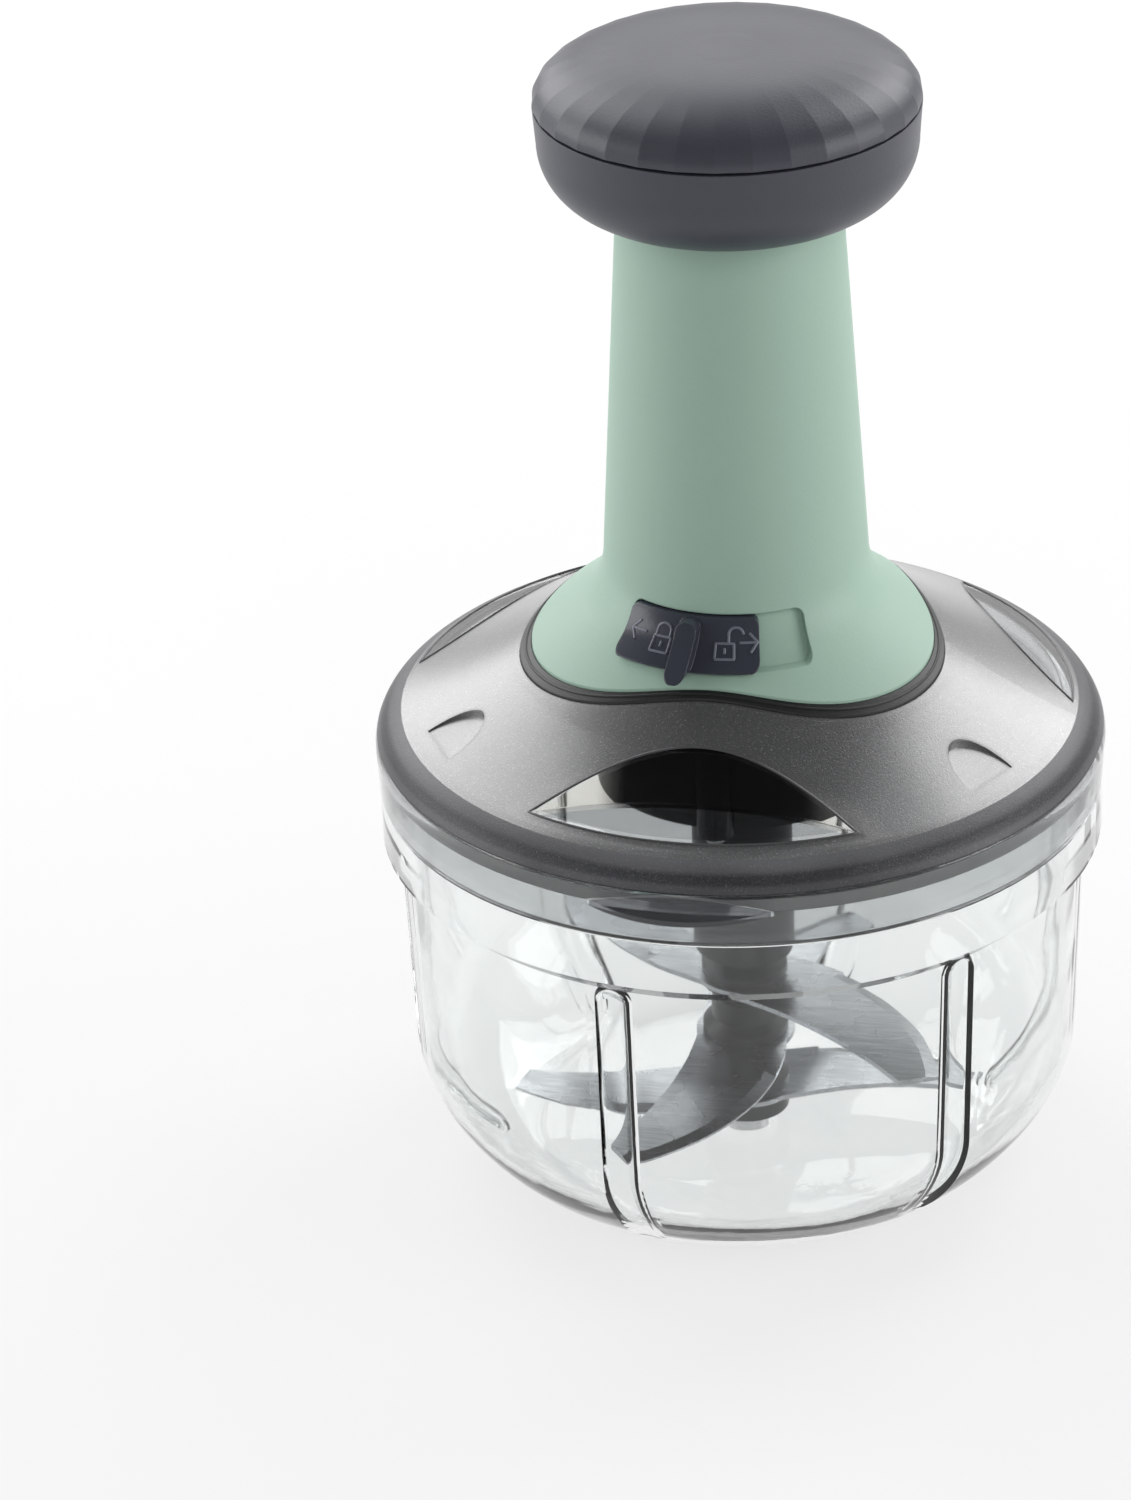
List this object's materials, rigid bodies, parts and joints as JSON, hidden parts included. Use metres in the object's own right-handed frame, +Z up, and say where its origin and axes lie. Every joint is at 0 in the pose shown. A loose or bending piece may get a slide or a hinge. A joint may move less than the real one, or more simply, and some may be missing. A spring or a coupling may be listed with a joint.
{
  "type": "plunger food chopper",
  "caption": "Press-top food chopper: clear round bowl, smoke lid with a tall green column, big dark push knob, spinning blades inside.",
  "frame": {"origin": "middle of the bowl's flat underside", "axes": "+Z up along the axis of bowl, column and knob, -Y towards the front of the lid, where the lock slider and the tab are"},
  "size_m": [0.1366, 0.1405, 0.2236],
  "materials": {
    "clear": "clear polished plastic",
    "smoke": "smoke-grey translucent plastic, frosted on top and polished at the border",
    "sage": "matt sage green",
    "slate": "soft satin dark grey",
    "slider": "satin blue-grey",
    "dark": "satin dark grey",
    "white": "natural white, low friction",
    "seal": "soft translucent",
    "gasket": "matt",
    "blade": "ground stainless",
    "steel": "satin",
    "spring": "drawn wire",
    "screws": "zinc plated"
  },
  "bodies": {
    "bowl": {"bowl": "clear", "blade_pivot_pin": "steel"},
    "blades": {"blade_post": "dark", "blade_lower": "blade", "blade_middle": "blade", "blade_upper": "blade"},
    "lid": {"lid_shell": "smoke", "lid_seal": "seal", "column_shell": "sage", "column_gasket": "gasket", "column_screws": "screws", "guide_sleeve": "white", "lock_detent": "spring", "drive_housing": "dark", "drive_cover": "dark", "cover_screws": "screws", "screw_bearing": "white", "return_spring": "spring"},
    "plunger": {"plunger_tube": "dark", "drive_nut": "white", "knob_cap": "slate", "knob_collar": "slate", "knob_screws": "screws"},
    "screw": {"drive_screw": "steel", "screw_clip": "spring", "ratchet_driver": "white", "ratchet_pawls": "steel", "pawl_springs": "spring"},
    "output": {"output_coupling": "dark"},
    "lock": {"lock_slider": "slider", "lock_catch": "dark"}
  },
  "joints": [
    {"name": "lid_lift", "type": "slide", "parent": "bowl", "child": "lid", "axis": [0, 0, 1], "range_m": [0, 0.12]},
    {"name": "plunger_slide", "type": "slide", "parent": "lid", "child": "plunger", "axis": [0, 0, 1], "range_m": [0, 0.046], "deforming": ["return_spring"]},
    {"name": "screw_spin", "type": "hinge", "parent": "lid", "child": "screw", "pos_m": [0, 0, 0.1], "axis": [0, 0, -1], "range_deg": [0, 690.5]},
    {"name": "output_spin", "type": "hinge", "parent": "lid", "child": "output", "pos_m": [0, 0, 0.09], "axis": [0, 0, -1], "range_deg": [0, 690.5]},
    {"name": "blade_spin", "type": "hinge", "parent": "bowl", "child": "blades", "pos_m": [0, 0, 0.01], "axis": [0, 0, -1], "range_deg": [0, 690.5]},
    {"name": "lock_turn", "type": "hinge", "parent": "lid", "child": "lock", "pos_m": [0, 0, 0.119], "axis": [0, 0, 1], "range_deg": [0, 19]}
  ],
  "couplings": [
    {"joint": "screw_spin", "follows": "plunger_slide", "rad_per_m": 261.8},
    {"joint": "output_spin", "follows": "plunger_slide", "rad_per_m": 261.8},
    {"joint": "blade_spin", "follows": "plunger_slide", "rad_per_m": 261.8}
  ]
}
